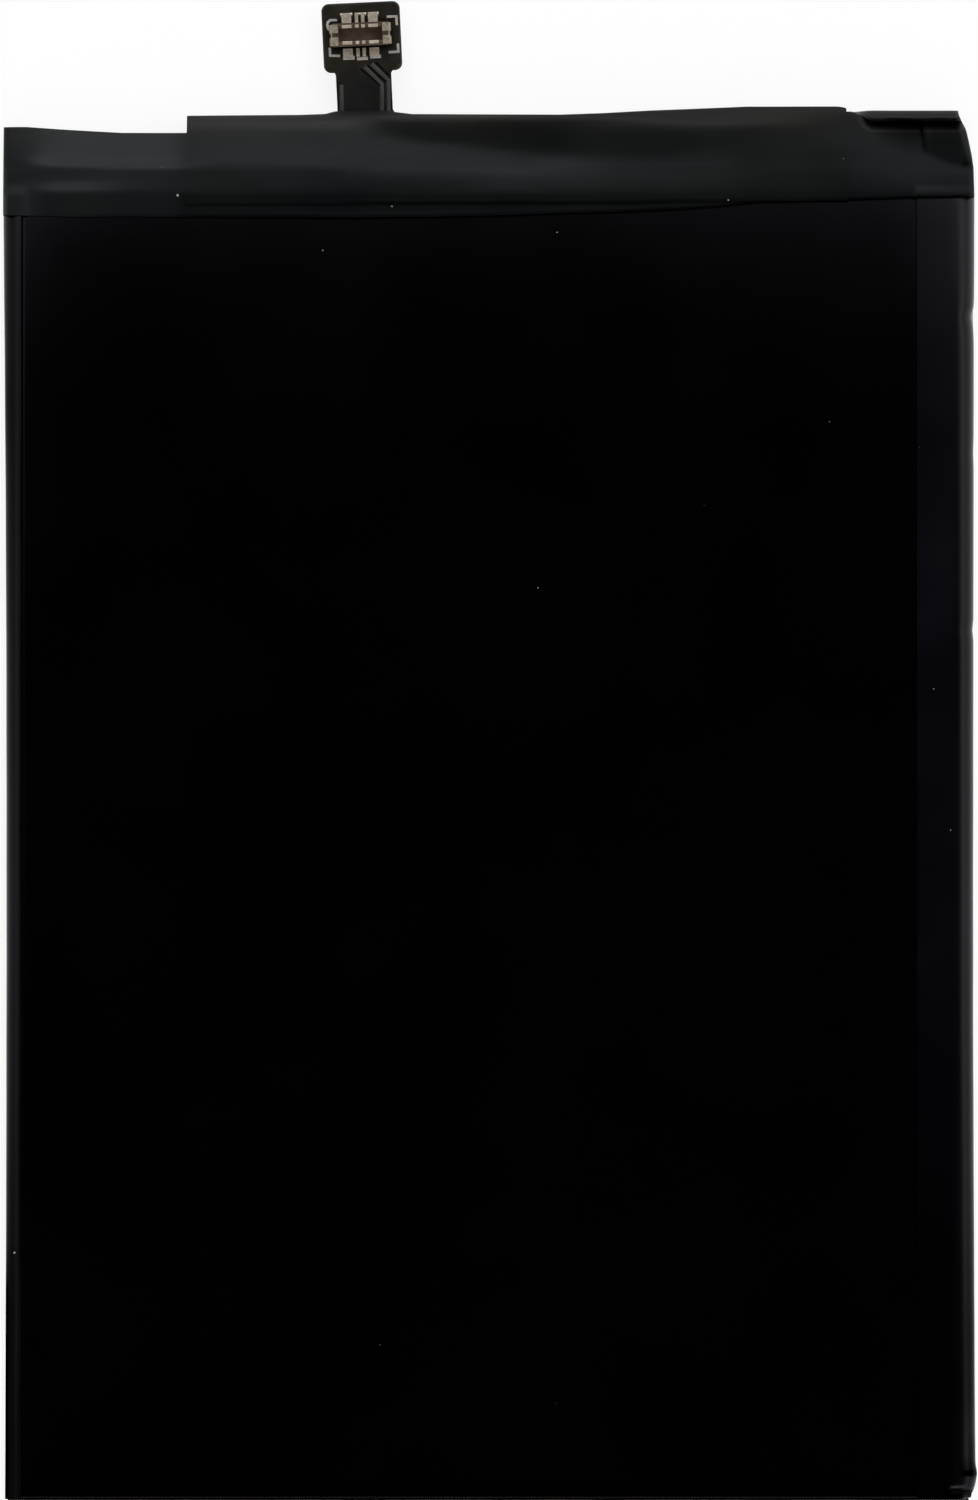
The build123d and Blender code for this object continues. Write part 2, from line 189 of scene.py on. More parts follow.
def noise_node(tree, scale, detail, stretch):
    """Noise over the piece's own metres, scale features a metre, stretched."""
    place = new_node(tree, "TexCoord")
    turn = new_node(tree, "Mapping")
    turn.inputs["Scale"].default_value = stretch
    texture = new_node(tree, "TexNoise")
    texture.inputs["Scale"].default_value = scale
    texture.inputs["Detail"].default_value = detail
    tree.links.new(place.outputs["Object"], turn.inputs["Vector"])
    tree.links.new(turn.outputs[0], texture.inputs["Vector"])
    return texture.outputs["Fac"]


def ramp_node(tree, value, dark, light):
    """Turns noise into a colour between dark and light."""
    ramp = new_node(tree, "ValToRGB")
    for stop, at, colour in zip(ramp.color_ramp.elements, COLOUR_SPAN, (dark, light)):
        stop.position = at
        stop.color = (*colour, 1)
    tree.links.new(value, ramp.inputs[0])
    return ramp.outputs[0]


def bump_node(tree, value, depth, below=None):
    """Raises the surface by a noise, to a depth in metres."""
    bump = new_node(tree, "Bump")
    bump.inputs["Distance"].default_value = depth
    tree.links.new(value, bump.inputs["Height"])
    if below is not None:
        tree.links.new(below, bump.inputs["Normal"])
    return bump.outputs[0]


def power_node(tree, value, reach, power, height):
    """Height times the share of a reach, raised to a power. A negative reach counts the other way."""
    share = math_node(tree, "MULTIPLY", value, 1 / reach, clamp=True)
    raised = math_node(tree, "POWER", share, power)
    return math_node(tree, "MULTIPLY", raised, height)


def pillow_node(tree):
    """The slight swell of a filled pouch: it falls away towards its top end, and there towards its sides."""
    place = place_node(tree)
    along = math_node(tree, "ADD", place["Y"], -foot_y * MM)
    end = power_node(tree, along, SWELL_REACH, 6, -SWELL_END)
    left = power_node(tree, place["X"], -SWELL_ACROSS, 5, -SWELL_SIDE)
    right = power_node(tree, place["X"], SWELL_ACROSS, 5, -SWELL_SIDE)
    sides = math_node(tree, "ADD", left, right)
    fade = math_node(tree, "MULTIPLY_ADD", along, (1 - SWELL_SIDE_LOW) / SWELL_REACH, SWELL_SIDE_LOW)
    faded = math_node(tree, "MULTIPLY", sides, fade)
    return bump_node(tree, math_node(tree, "ADD", end, faded), 1.0)


def painted_light_share(tree):
    """The share of a piece's gloss and colour left by the painted light and shade marked on it: below 1 is
    painted shade, above 1 a painted highlight.
    """
    mark = new_node(tree, "Attribute")
    mark.attribute_name = "painted_light"
    return math_node(tree, "SUBTRACT", 1.0, mark.outputs["Fac"])


def along_range(tree, start, end, low, high):
    """A value that goes from low to high between two distances from the pack's bottom edge."""
    span = ((foot_y + start) * MM, (foot_y + end) * MM)
    return map_node(tree, place_node(tree)["Y"], span, (low, high), "SMOOTHSTEP")


def painted_foot_shade(tree):
    """Painted shade: the pouch's bottom end, which the film's flap keeps in the dark, gets next to no colour
    or gloss.
    """
    return along_range(tree, *SHADED_END, SHADED_GLOSS, 1.0)


def grained_material(name, patch, rough, grain, depth, specular, stretch=(1, 1, 1), swollen=False):
    """A material with uneven gloss and a fine relief, still without its colour, and its patches."""
    material = bpy.data.materials.new(name)
    material.use_nodes = True
    tree = material.node_tree
    tree.nodes.clear()
    shader = new_node(tree, "BsdfPrincipled")
    tree.links.new(shader.outputs[0], new_node(tree, "OutputMaterial").inputs[0])
    patches = noise_node(tree, patch, 4.0, stretch)
    fine = noise_node(tree, grain, 2.0, stretch)
    tree.links.new(map_node(tree, patches, NOISE_SPAN, rough), shader.inputs["Roughness"])
    below = pillow_node(tree) if swollen else None
    tree.links.new(bump_node(tree, fine, depth * MICRON, below), shader.inputs["Normal"])
    shader.inputs["Specular IOR Level"].default_value = specular
    return material, tree, shader, patches


def surface(
    name, dark, light, patch, rough, grain, depth, metallic=0.0, specular=0.5, stretch=(1, 1, 1),
    swollen=False, tint=(1, 1, 1), left=None,
):
    """A material with patchy colour, uneven gloss and a fine relief, its depth in microns; left, if given,
    scales its colour and gloss, for painted light and shade.
    """
    material, tree, shader, patches = grained_material(
        name, patch, rough, grain, depth, specular, stretch, swollen
    )
    colour = ramp_node(tree, patches, dark, light)
    shader.inputs["Specular Tint"].default_value = (*tint, 1)
    shader.inputs["Metallic"].default_value = metallic
    # Painted light and shade: the share that left gives scales both the colour and the gloss
    if left:
        share = left(tree)
        colour = scale_node(tree, colour, share)
        tree.links.new(math_node(tree, "MULTIPLY", share, specular), shader.inputs["Specular IOR Level"])
    tree.links.new(colour, shader.inputs["Base Color"])
    return material


def tint_tape(material, low, high):
    """Tints a tape's gloss, from bluish over the board to neutral where it turns down at the end."""
    tree = material.node_tree
    share = along_range(tree, photo_along(152), photo_along(120), 0.0, 1.0)
    tree.links.new(mix_node(tree, share, low, high), tree.nodes["Principled BSDF"].inputs["Specular Tint"])


laminate = surface(
    "laminate", (0.0001, 0.0001, 0.0001), (0.0003, 0.0003, 0.0003), 90, (0.19, 0.25), 2500, 2, specular=0.2,
    swollen=True, tint=(0.90, 0.83, 1.0), left=painted_foot_shade,
)
film = surface(
    "film", (0.0020, 0.0018, 0.0031), (0.0032, 0.0028, 0.0047), 140, (0.22, 0.30), 3000, 2, specular=0.22,
    swollen=True, tint=(0.93, 0.92, 1.0), left=painted_light_share,
)
tape = surface(
    "tape", (0.0032, 0.0038, 0.0046), (0.0060, 0.0060, 0.0058), 110, (0.40, 0.48), 4200, 3, specular=0.15,
    left=painted_light_share,
)
outer_skin = surface(
    "outer_tape", (0.0028, 0.0038, 0.0040), (0.0054, 0.0056, 0.0050), 110, (0.40, 0.48), 4200, 3,
    specular=0.145, left=painted_light_share,
)
tint_tape(tape, (0.84, 0.94, 1.0), (1.0, 1.0, 0.97))
tint_tape(outer_skin, (0.84, 0.95, 1.0), (1.0, 1.0, 0.96))


# The tail's place and lean, and the plug on it
TAIL_LEAN = math.radians(2.7)
TAIL_X = -7.94
EXIT_ALONG = 88.85
HEAD_FROM = (0.0022, 0.0030)
PLUG_AT = ((plug_low.x + plug_high.x) / 2, (plug_low.y + plug_high.y) / 2)
# The plug's half size, and the span of the painted shadow round it
PLUG_HALF = ((plug_high.x - plug_low.x) / 2 - 0.02, (plug_high.y - plug_low.y) / 2 - 0.06)
PLUG_SHADE = (0.00012, 0.00034)


def tail_place(tree, way, x, y):
    """How far along a way on the tail the surface is from a place given in millimetres."""
    place = new_node(tree, "TexCoord")
    dot = new_node(tree, "VectorMath")
    dot.operation = "DOT_PRODUCT"
    dot.inputs[1].default_value = (*way, 0)
    tree.links.new(place.outputs["Object"], dot.inputs[0])
    return math_node(tree, "SUBTRACT", dot.outputs["Value"], (way[0] * x + way[1] * y) * MM)


def flex_material():
    """The flexible circuit: black over its neck, thinner and brown on its head, with a painted shadow round
    the plug.
    """
    material, tree, shader, patches = grained_material("flex_cover", 900, (0.36, 0.50), 9000, 3, 0.3)
    black = ramp_node(tree, patches, (0.0085, 0.0088, 0.0082), (0.0135, 0.0140, 0.0130))
    brown = ramp_node(tree, patches, (0.0165, 0.0140, 0.0090), (0.0270, 0.0235, 0.0155))
    onwards = (-math.sin(TAIL_LEAN), math.cos(TAIL_LEAN))
    sideways = (math.cos(TAIL_LEAN), math.sin(TAIL_LEAN))
    along = tail_place(tree, onwards, TAIL_X, foot_y + EXIT_ALONG)
    cover = mix_node(tree, map_node(tree, along, HEAD_FROM, (0, 1)), black, brown)
    outs = []
    # Painted shadow: the cover darkens to a quarter next to the plug's housing
    for way, half in ((onwards, PLUG_HALF[1]), (sideways, PLUG_HALF[0])):
        size = math_node(tree, "ABSOLUTE", tail_place(tree, way, *PLUG_AT))
        outs.append(math_node(tree, "SUBTRACT", size, half * MM))
    apart = math_node(tree, "MAXIMUM", *outs)
    lit = map_node(tree, apart, PLUG_SHADE, (0.25, 1))
    tree.links.new(scale_node(tree, cover, lit), shader.inputs["Base Color"])
    return material


trace_cover = surface("trace_cover", (0.040, 0.043, 0.037), (0.072, 0.077, 0.067), 700, (0.4, 0.5), 9000, 3)
# A near-black cover for strips of painted shadow
painted_shadow_cover = surface(
    "painted_shadow_cover", (0.0018, 0.0016, 0.0014), (0.0034, 0.0030, 0.0026), 900, (0.5, 0.6), 9000, 3, specular=0.1
)
nail_metal = surface(
    "nail_metal", (0.42, 0.35, 0.26), (0.74, 0.66, 0.52), 6000, (0.3, 0.5), 30000, 3, metallic=0.55
)
solder = surface("solder", (0.52, 0.48, 0.43), (0.72, 0.68, 0.62), 4000, (0.3, 0.5), 16000, 4, metallic=0.5)
ink = surface("ink", (0.42, 0.39, 0.36), (0.62, 0.58, 0.54), 3000, (0.5, 0.7), 20000, 3)
dust = surface("dust", (0.30, 0.30, 0.29), (0.75, 0.74, 0.72), 9000, (0.7, 0.9), 40000, 4)
SLOT_MATERIALS = {
    "pouch_laminate": laminate,
    "wrap_film": film,
    "board_tape": tape,
    "flex_film": flex_material(),
    "stiffener": surface(
        "stiffener", (0.042, 0.040, 0.033), (0.062, 0.058, 0.048), 1500, (0.45, 0.6), 9000, 4,
        stretch=(1, 3, 1),
    ),
    "plug_moulding": surface(
        "plug_moulding", (0.078, 0.052, 0.036), (0.118, 0.084, 0.060), 2500, (0.4, 0.55), 20000, 2
    ),
    "contact_gold": surface(
        "gold", (0.70, 0.59, 0.46), (0.92, 0.83, 0.70), 5000, (0.34, 0.5), 30000, 2, metallic=0.45
    ),
    "lead_aluminium": surface(
        "aluminium", (0.60, 0.61, 0.62), (0.80, 0.81, 0.82), 700, (0.3, 0.42), 5000, 3, 1.0, stretch=(1, 6, 1)
    ),
    "lead_nickel": surface(
        "nickel", (0.44, 0.42, 0.38), (0.60, 0.57, 0.52), 700, (0.3, 0.45), 5000, 3, 1.0, stretch=(1, 6, 1)
    ),
    "sealing_film": surface("sealant", (0.36, 0.31, 0.22), (0.50, 0.45, 0.34), 600, (0.4, 0.5), 4000, 3),
    "adhesive": surface("adhesive", (0.45, 0.45, 0.43), (0.62, 0.62, 0.60), 800, (0.6, 0.8), 6000, 6),
    "board_laminate": surface(
        "board_green", (0.006, 0.040, 0.018), (0.012, 0.075, 0.034), 500, (0.3, 0.42), 9000, 3
    ),
    "chip_moulding": surface(
        "moulding", (0.010, 0.010, 0.011), (0.020, 0.020, 0.021), 1500, (0.55, 0.7), 12000, 5
    ),
    "resistor_body": surface(
        "resistor", (0.020, 0.020, 0.023), (0.040, 0.040, 0.044), 2500, (0.35, 0.5), 15000, 3
    ),
    "capacitor_body": surface(
        "capacitor", (0.20, 0.125, 0.075), (0.30, 0.195, 0.12), 2500, (0.4, 0.55), 15000, 3
    ),
}
for part in frame["record"]["subparts"]:
    node = frame["nodes"][part["node"]]
    node.data.materials.clear()
    node.data.materials.append(SLOT_MATERIALS[part["material_slot"]])
for name in ("end_nail_left", "end_nail_right"):
    frame["nodes"][name].data.materials[0] = nail_metal


# Meshes


def add_piece(name, points, faces, material, replaced=(), corner=40):
    """Makes a piece from points in millimetres, in the pack's frame, and fixes it to the pack."""
    mesh = bpy.data.meshes.new(name)
    mesh.from_pydata([tuple(p * MM for p in point) for point in points], [], faces)
    mesh.validate()
    mesh.polygons.foreach_set("use_smooth", [True] * len(mesh.polygons))
    mesh.set_sharp_from_angle(angle=math.radians(corner))
    mesh.materials.append(material)
    mesh.update()
    piece = bpy.data.objects.new(name, mesh)
    bpy.context.scene.collection.objects.link(piece)
    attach(piece, "root")
    if replaced:
        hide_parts(*replaced)
    return piece


def mark_painted_light(piece, painted_light):
    """Notes at each point of a piece how much light or shade is painted there: 1 is black, and below 0 it is
    brighter, a painted highlight.
    """
    mesh = piece.data
    places = np.zeros(3 * len(mesh.vertices), np.float32)
    mesh.vertices.foreach_get("co", places)
    x, y, z = (places.reshape(-1, 3) / MM).T
    marks = mesh.attributes.new("painted_light", "FLOAT", "POINT")
    marks.data.foreach_set("value", np.clip(painted_light(x, y - foot_y, z), -1.5, 1).astype(np.float32))


def closed_sheet(name, grid, thickness, material, replaced=(), cut=None, corner=40):
    """Makes a closed sheet of even thickness inwards from a grid of points, less the squares that are cut."""
    rows, columns = grid.shape[:2]
    normal = np.cross(np.gradient(grid, axis=0), np.gradient(grid, axis=1))
    normal /= np.maximum(np.linalg.norm(normal, axis=2, keepdims=True), 1e-9)
    points = np.concatenate([grid.reshape(-1, 3), (grid - normal * thickness).reshape(-1, 3)])
    count = rows * columns
    index = np.arange(count).reshape(rows, columns)
    quads = np.stack([index[:-1, :-1], index[1:, :-1], index[1:, 1:], index[:-1, 1:]], axis=2)
    keep = np.ones(quads.shape[:2], bool) if cut is None else ~cut
    quads = quads[keep]
    ends = {}
    for quad in quads.tolist():
        for k in range(4):
            edge = (quad[k], quad[(k + 1) % 4])
            if (edge[1], edge[0]) in ends:
                del ends[(edge[1], edge[0])]
            else:
                ends[edge] = True
    rim = [(b, a, a + count, b + count) for a, b in ends]
    faces = np.concatenate([quads, quads[:, ::-1] + count, np.array(rim)])
    used, faces = np.unique(faces, return_inverse=True)
    faces = faces.reshape(-1, 4)
    return add_piece(name, points[used].tolist(), faces.tolist(), material, replaced, corner)


def walk(line, marks):
    """The points of a finely drawn line at the given distances along it."""
    steps = np.hypot(*np.diff(line, axis=0).T)
    travelled = np.concatenate([[0], np.cumsum(steps)])
    wanted = np.asarray(marks) * travelled[-1]
    return np.stack([np.interp(wanted, travelled, line[:, k]) for k in (0, 1)], axis=1)


def soften(line, reach):
    """Rounds the corners of an evenly spaced line, whose ends stay."""
    padded = np.concatenate([2 * line[0] - line[reach:0:-1], line, 2 * line[-1] - line[-2 : -reach - 2 : -1]])
    weights = np.hanning(2 * reach + 3)[1:-1]
    weights /= weights.sum()
    return np.stack([np.convolve(padded[:, k], weights, "valid") for k in (0, 1)], axis=1)


# The tapes over the board, modelled from how much they lean towards the tail's end. Each station has its
# column of the photograph, then rows with the lean there in degrees, from the tape's front edge outwards.
TAPE_T = 0.05
LAYER = 0.06
FLAT_Z = cup_top + 0.115
FLAT_RUN = 0.6
LEANS = {
    22: ((210, 2), (192, 10), (185, 13), (176, 13), (167, 14), (161, 17), (150, 21), (131, 22)),
    60: (
        (207, 2), (196, 6), (193, 14), (190, 28), (184, 26), (180, 14), (168, 13), (166, 26), (162, 46),
        (157, 44), (153, 29), (131, 27),
    ),
    110: (
        (207, 2), (195, 6), (191, 18), (185, 21), (180, 17), (172, 15), (168, 24), (164, 47), (157, 45),
        (150, 33), (131, 34),
    ),
    165: (
        (207, 2), (196, 7), (189, 13), (182, 15), (172, 15), (169, 23), (165, 46), (159, 43), (150, 32),
        (131, 31),
    ),
    215: (
        (204, 2), (196, 6), (188, 10), (172, 11), (166, 21), (161, 31), (150, 29), (132, 28), (122, 32),
        (118, 52),
    ),
    320: ((204, 2), (196, 6), (188, 13), (171, 14), (165, 25), (155, 28), (132, 24), (122, 31), (117, 50)),
    362: (
        (203, 2), (192, 6), (182, 13), (172, 18), (166, 26), (153, 27), (142, 26), (131, 25), (124, 29),
        (117, 36), (113, 48),
    ),
    382: (
        (202, 2), (190, 7), (180, 14), (172, 20), (166, 26), (152, 27), (140, 25), (131, 21), (124, 14),
        (120, 19), (117, 32), (113, 48),
    ),
    405: (
        (202, 2), (190, 7), (180, 14), (172, 20), (166, 26), (152, 27), (143, 25), (136, 17), (131, 13),
        (123, 15), (119, 27), (114, 44),
    ),
    450: (
        (202, 2), (192, 8), (182, 14), (173, 19), (165, 25), (152, 25), (146, 21), (140, 10), (131, 11),
        (123, 15), (119, 30), (114, 44),
    ),
    500: (
        (202, 2), (194, 8), (188, 16), (176, 22), (164, 27), (153, 22), (147, 13), (142, 7), (134, 4),
        (124, 7), (119, 22), (115, 48),
    ),
    560: (
        (202, 2), (196, 7), (188, 16), (176, 21), (164, 26), (158, 20), (152, 11), (146, 4), (132, 4),
        (124, 8), (119, 20), (114, 46),
    ),
    620: (
        (202, 2), (196, 7), (188, 15), (174, 20), (165, 18), (158, 13), (152, 8), (134, 7), (126, 13),
        (119, 26), (113, 48),
    ),
    680: (
        (200, 2), (194, 9), (188, 15), (177, 19), (165, 18), (156, 13), (148, 6), (137, 6), (131, 11),
        (125, 21), (118, 40), (109, 46),
    ),
    740: (
        (200, 2), (194, 7), (187, 13), (174, 15), (161, 14), (137, 12), (131, 14), (127, 19), (121, 34),
        (109, 36),
    ),
    835: ((199, 2), (193, 7), (186, 10), (176, 12), (164, 15), (150, 16), (128, 16), (116, 20), (108, 30)),
    870: ((198, 2), (191, 9), (182, 14), (164, 18), (149, 19), (137, 18), (128, 18), (110, 18)),
    905: ((197, 2), (191, 11), (182, 17), (164, 19), (150, 19), (140, 19), (130, 19), (110, 20)),
    950: ((197, 2), (191, 9), (182, 15), (172, 19), (167, 19), (160, 19), (140, 19), (130, 19), (110, 20)),
}
FIELD_X = np.arange(-32.0, 32.01, 0.1)
FIELD_ALONG = np.arange(81.4, 90.2, 0.02)


def blur(values, spread, axis):
    """Smooths an array along one axis, by a bell of so many cells."""
    reach = int(3 * spread)
    weights = np.exp(-0.5 * (np.arange(-reach, reach + 1) / spread) ** 2)
    weights /= weights.sum()
    pad = [(reach, reach) if k == axis else (0, 0) for k in range(values.ndim)]
    padded = np.pad(values, pad, mode="edge")
    return np.apply_along_axis(lambda line: np.convolve(line, weights, "valid"), axis, padded)


def crinkle(size_x, size_along, seed):
    """Smooth unevenness over the tapes' field, longer across the pack than along it."""
    coarse_x = np.arange(-32.5, 33, size_x / 4)
    coarse_along = np.arange(81, 91, size_along / 4)
    rough = np.array([[drift(x / size_x, a / size_along, 1.0, seed) for a in coarse_along] for x in coarse_x])
    part = np.stack([np.interp(FIELD_ALONG, coarse_along, row) for row in rough])
    return np.stack([np.interp(FIELD_X, coarse_x, part[:, k]) for k in range(part.shape[1])], axis=1)


def tape_field():
    """The height of the tapes' common viewed side over the pack's end."""
    columns = sorted(LEANS)
    at_station = []
    for column in columns:
        rows = [photo_along(row) for row, _ in LEANS[column]]
        leans = [lean for _, lean in LEANS[column]]
        at_station.append(np.interp(FIELD_ALONG, [rows[0] - FLAT_RUN, *rows], [0.0, *leans]))
    at_station = np.array(at_station)
    places = [photo_x(column) for column in columns]
    lean = np.stack([np.interp(FIELD_X, places, at_station[:, k]) for k in range(len(FIELD_ALONG))], axis=1)
    lean = blur(blur(lean, 5, 0), 4, 1) * smooth(FIELD_ALONG, 83.2, 83.8)
    on_slope = smooth(lean, 3.0, 12.0)
    lean = lean + on_slope * (2.2 * crinkle(6.0, 1.1, 3) + 1.6 * crinkle(2.4, 0.5, 4))
    drop = np.cumsum(np.tan(np.radians(lean)), axis=1) * (FIELD_ALONG[1] - FIELD_ALONG[0])
    return FLAT_Z - drop


FIELD = tape_field()


def tape_z(x, along):
    """The tapes' height at one place across and several places along."""
    k = np.clip((x - FIELD_X[0]) / (FIELD_X[1] - FIELD_X[0]), 0, len(FIELD_X) - 1.001)
    low = int(k)
    share = k - low
    line = FIELD[low] * (1 - share) + FIELD[low + 1] * share
    return np.interp(along, FIELD_ALONG, line)


# Where the tapes' front edges and their turns round the pack's end lie in the photograph: column and row
INNER_EDGE = (
    (5, 216), (60, 217), (200, 218), (330, 218), (430, 217.4), (480, 216.4), (530, 214.6), (600, 213),
    (655, 211.4), (720, 208), (750, 204.6), (771, 202.2), (850, 201), (905, 199.6), (960, 198),
    (973, 197.6),
)
INNER_END = (
    (5, 126.8), (26, 126.6), (74, 129.4), (122, 132.0), (184, 132.3), (300, 131), (700, 117), (840, 111.2),
    (959, 109.9),
)
OUTER_EDGE = ((183, 205), (330, 204.8), (400, 204.3), (600, 203.8), (700, 202), (740, 201.7), (848, 201.2))
OUTER_END = (
    (183, 115.3), (188, 114.7), (300, 113.9), (325, 113), (335, 110.2), (350, 109.7), (385, 109.7),
    (398, 111.6), (412, 113.4), (560, 114.3), (602, 112.8), (650, 110), (698, 108), (746, 106), (838, 106),
    (845, 107), (849, 109),
)
# How much each front edge lifts, in millimetres by column
INNER_CURL = ((200, 0.0), (270, 0.05), (320, 0.09), (560, 0.09), (640, 0.04), (690, 0.0))
OUTER_CURL = ((183, 0.0), (380, 0.02), (700, 0.02), (780, 0.0))
# Where each tape ends on the resting face: how far along, and its height there
INNER_REAR = (80.6, 0.07)
OUTER_REAR = (80.2, 0.012)


def by_column(x, marks):
    """Reads a value at x off pairs of a photograph column and the value there."""
    return float(np.interp(x, [photo_x(mark[0]) for mark in marks], [mark[1] for mark in marks]))


def inner_edge(x):
    """The inner tape's front edge: level on the left, skewed on the right."""
    return photo_along(by_column(x, INNER_EDGE) + 0.35 * math.sin(0.9 * x) * math.sin(0.23 * x + 1))


def inner_end(x):
    """Where the inner tape turns round the pack's end."""
    return photo_along(by_column(x, INNER_END))


def outer_edge(x):
    """The outer tape's front edge."""
    return photo_along(by_column(x, OUTER_EDGE) + 0.3 * math.sin(1.3 * x + 2))


def outer_end(x):
    """Where the outer tape turns round the pack's end, higher before the tail and bulged at the right."""
    return photo_along(by_column(x, OUTER_END))


def front_length(front, heights):
    """How far it is over a tape's front."""
    return float(np.hypot(np.diff(front), np.diff(heights)).sum())


def fold_line(x, edge, end, sink, rear, curl):
    """A tape's line along the pack at one place across it, as (along, z), and how long its front is."""
    front = np.linspace(edge, end - 0.06, 200)
    heights = tape_z(x, front) - sink
    heights = heights + curl * np.exp(-((front - edge) / 0.22))
    brow = heights[-1]
    nose = [
        (end - 0.01, brow - 0.08), (end, brow * 0.62), (end, 0.42), (end - 0.10, 0.16),
        (end - 0.45, rear[1]), rear
    ]
    line = np.concatenate([np.stack([front, heights], axis=1), np.array(nose)])
    return line, front_length(front, heights)


def finish_line(line, front):
    """A tape's line with its corners eased, and its points closer over its front than beyond it."""
    total = float(np.hypot(*np.diff(line, axis=0).T).sum())
    fine = walk(line, np.linspace(0, 1, 900))
    share = (front + 0.5) / total
    marks = np.concatenate([np.linspace(0, share, 92, endpoint=False), np.linspace(share, 1, 42)])
    return walk(soften(fine, 4), marks)


# The inner tape also folds down both sides of the pack, and is folded into a pocket at its right corner
SIDE_X = half_w + 0.13
SIDE_R = 0.40
SIDE_DROP = 1.75
POCKET = (photo_x(850), photo_x(874))
POCKET_TROUGH = 122.9
POCKET_RIDGE = 120.2
POCKET_END = 109.9
CORNER_ROWS = (190, 168, 156, 148, 140, 133, 128, 124, 120, 116, 111)
CORNER_CUTS = (0.04, 0.07, 0.17, 0.27, 0.37, 0.47, 0.56, 0.68, 0.84, 0.95, 1.02)
# The outer tape's ends and the slit that the tail comes out of
OUTER_LEFT = outer_low.x
OUTER_RIGHT = outer_high.x
OUTER_MIDDLE = (OUTER_LEFT + OUTER_RIGHT) / 2
TAIL_HALF = 2.34
SLIT_UNDER = 0.12
SLIT_OVER = 0.16


def side_place(s):
    """Where an arc length across the pack comes to: the place across and the drop."""
    flat = SIDE_X - SIDE_R
    size = abs(s)
    if size <= flat:
        return s, 0.0
    angle = (size - flat) / SIDE_R
    if angle <= math.pi / 2:
        x = flat + SIDE_R * math.sin(angle)
        drop = SIDE_R * (1 - math.cos(angle))
    else:
        x = SIDE_X
        drop = SIDE_R + (angle - math.pi / 2) * SIDE_R
    return math.copysign(x, s), drop


def corner_cut(along):
    """How far the right side is drawn in towards the pack's end, where its corner is folded."""
    return np.interp(along, [photo_along(row) for row in CORNER_ROWS], CORNER_CUTS)


def pocket_line(x, amount):
    """At the right the tape's front stops in a trough, before a fold of it that stands up at the end."""
    trough = photo_along(POCKET_TROUGH + 0.4 * math.sin(1.7 * x))
    ridge = photo_along(POCKET_RIDGE + 0.3 * math.sin(2.3 * x + 1))
    end = photo_along(POCKET_END)
    along = np.linspace(inner_edge(x), trough, 200)
    heights = tape_z(x, along) - LAYER
    heights = heights - 0.30 * amount * smooth(along, photo_along(132), trough)
    foot = heights[-1]
    crest = float(tape_z(x, ridge)) + 0.25
    mouth = [
        (trough + 0.05, foot - 0.03), (trough + 0.10, foot + 0.2), (ridge - 0.03, crest - 0.12),
        (ridge + 0.02, crest), (ridge + 0.12, crest - 0.06), (end - 0.06, crest - 0.62),
        (end, crest - 0.85), (end, 0.42), (end - 0.10, 0.2),
        (end - 0.45, INNER_REAR[1]), INNER_REAR,
    ]
    line = np.concatenate([np.stack([along, heights], axis=1), np.array(mouth)])
    return line, front_length(along, heights)


def build_inner_tape():
    """The full-width tape: a sheet over rim, board and end, folded down both sides."""
    flat_reach = SIDE_X - SIDE_R
    wrap = SIDE_R * math.pi / 2 + (SIDE_DROP - SIDE_R)
    sides = np.linspace(0, wrap, 15)[1:]
    left = np.linspace(-flat_reach, OUTER_LEFT + 0.3, 76, endpoint=False)
    hidden = np.linspace(OUTER_LEFT + 0.3, OUTER_RIGHT - 0.3, 66, endpoint=False)
    right = np.linspace(OUTER_RIGHT - 0.3, flat_reach, 70)
    across = np.concatenate([-flat_reach - sides[::-1], left, hidden, right, flat_reach + sides])
    lines = []
    for s in across:
        x, drop = side_place(float(s))
        curl = by_column(x, INNER_CURL)
        line = finish_line(*fold_line(x, inner_edge(x), inner_end(x), LAYER, INNER_REAR, curl))
        amount = smooth(x, *POCKET)
        if amount > 0:
            line = line + (finish_line(*pocket_line(x, amount)) - line) * amount
        film_edge = (half_w - 3.9, half_w - 3.6) if x > 0 else (half_w - 1.7, half_w - 1.0)
        on_film = smooth(abs(x), *film_edge)
        on_cup = 1 - smooth(line[:, 0], wall_along - rim_r, wall_along)
        heights = line[:, 1] + (film_t - 0.01) * on_film * on_cup
        share = np.clip((heights - 0.09) / SIDE_DROP, 0, 1)
        heights = heights - drop * share
        cut = corner_cut(line[:, 0]) * smooth(x, 28.6, 31.0) if x > 0 else 0.0
        lines.append(np.stack([x - cut + 0 * heights, line[:, 0] + foot_y, heights], axis=1))
    grid = np.array(lines)
    skin = closed_sheet("inner_tape_skin", grid, TAPE_T, tape, ["inner_tape"], slit_mask(grid))
    mark_painted_light(skin, inner_painted_light)


def painted_sheen(column, row):
    """Painted highlight: how much brighter the tapes' colour and gloss are made at the left, along the turn
    of their end and over the hollow.
    """
    left = 1 - smooth(column, 168, 190)
    high = 1 - smooth(row, 165, 171)
    low = 1 - high
    far_left = 1 - smooth(column, 28, 50)
    upper = (0.34 + 0.32 * hump(row, 160, 6)) * left * high * (1 - far_left)
    turn = 0.50 * (1 - left) * (1 - smooth(row, 121, 134)) * (1 - smooth(column, 330, 380))
    lower = 0.30 * low * (1 - smooth(column, 500, 640)) * (1 - smooth(row, 192, 197) * (1 - left))
    front = (0.20 * left + 0.8 * far_left) * smooth(row, 191, 198)
    hollow = 0.30 * smooth(column, 530, 590) * (1 - smooth(column, 700, 760)) * smooth(row, 121, 127) * high
    lip = 0.9 * hump(column, 450, 60) * (1 - smooth(row, 116, 119))
    return upper + turn + lower + front + hollow + lip


def painted_edge_shadow(along, edge, depth):
    """Painted shadow: the dark line along a tape's front edge, which lifts a little."""
    return depth * (1 - smooth(along, edge + 0.10, edge + 0.24))


